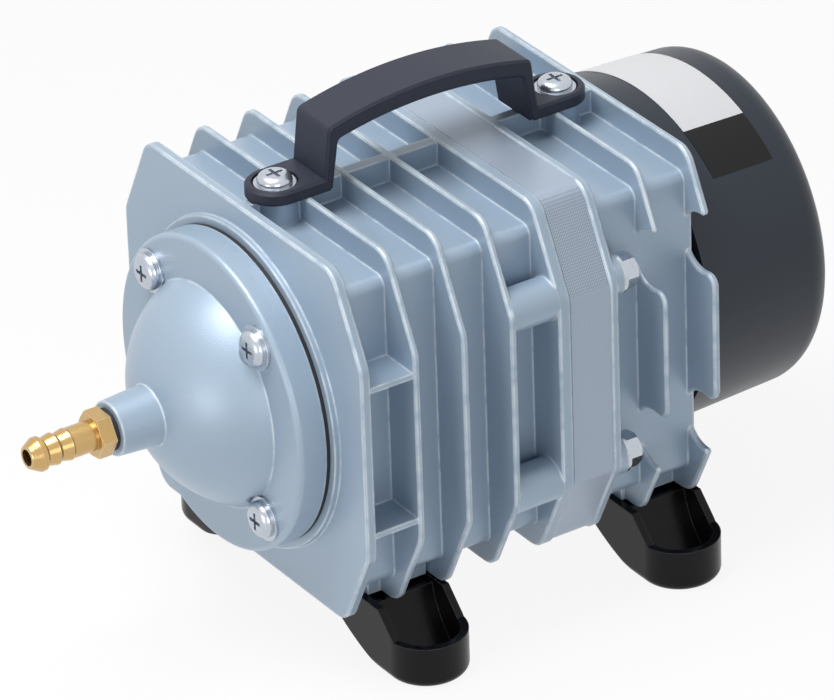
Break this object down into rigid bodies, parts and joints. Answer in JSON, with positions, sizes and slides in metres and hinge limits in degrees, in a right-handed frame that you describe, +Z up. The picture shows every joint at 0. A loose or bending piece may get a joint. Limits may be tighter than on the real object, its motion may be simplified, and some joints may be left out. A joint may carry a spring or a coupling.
{
  "type": "pond air pump",
  "caption": "Electromagnetic piston air pump with ribbed die-cast housing, domed outlet cover, brass hose barb, rear filter cap, carrying handle and rubber feet.",
  "frame": {"origin": "on the ground, under the middle of the overall box", "axes": "+Z up, +Y along the pump axis from the outlet to the rear cap, +X to the side without the cable entry"},
  "size_m": [0.127, 0.2328, 0.1513],
  "materials": {
    "casting": "satin die-cast",
    "steel": "ground",
    "zinc": "bright zinc",
    "brass": "turned",
    "bronze": "machined",
    "seal": "matt",
    "piston_alloy": "machined",
    "slide_ring": "matt",
    "laminations": "sheet edges",
    "iron": "plain",
    "bobbin": "moulded",
    "copper": "enamelled wire",
    "cap": "semi-gloss moulded",
    "foam": "open foam",
    "gland": "moulded",
    "handle": "fine grain",
    "foot": "semi-matt"
  },
  "bodies": {
    "pump": {"front_housing": "casting", "rear_housing": "casting", "outlet_cover": "casting", "cylinder_liner": "steel", "valve_plate": "steel", "discharge_stop": "steel", "spring_seat": "steel", "return_spring": "steel", "cover_screws": "zinc", "cover_washers": "zinc", "valve_plate_screws": "zinc", "tie_bolts": "zinc", "tie_washers": "zinc", "handle_screws": "zinc", "handle_washers": "zinc", "foot_screws": "zinc", "foot_washers": "zinc", "cap_screw": "zinc", "cap_post": "zinc", "outlet_barb": "brass", "rod_bush": "bronze", "cover_gasket": "seal", "barb_seal": "seal", "stator_core": "laminations", "upper_bobbin": "bobbin", "lower_bobbin": "bobbin", "upper_winding": "copper", "lower_winding": "copper", "rear_cap": "cap", "air_filter": "foam", "cable_gland": "gland", "handle": "handle", "front_right_foot": "foot", "front_left_foot": "foot", "rear_right_foot": "foot", "rear_left_foot": "foot"},
    "piston": {"piston": "piston_alloy", "piston_ring": "slide_ring", "intake_stop": "steel", "piston_rod": "steel", "armature": "iron", "armature_nuts": "zinc", "spring_cup": "steel"},
    "discharge_valve": {"discharge_valve": "steel"},
    "intake_valve": {"intake_valve": "steel"}
  },
  "joints": [
    {"name": "piston_slide", "type": "slide", "parent": "pump", "child": "piston", "axis": [0, 1, 0], "range_m": [-0.002, 0.008], "stiffness_N_per_m": 1500, "deforming": ["return_spring"]},
    {"name": "discharge_valve_lift", "type": "slide", "parent": "pump", "child": "discharge_valve", "axis": [0, -1, 0], "range_m": [0, 0.0015], "stiffness_N_per_m": 50},
    {"name": "intake_valve_lift", "type": "slide", "parent": "piston", "child": "intake_valve", "axis": [0, -1, 0], "range_m": [0, 0.0012], "stiffness_N_per_m": 50}
  ]
}
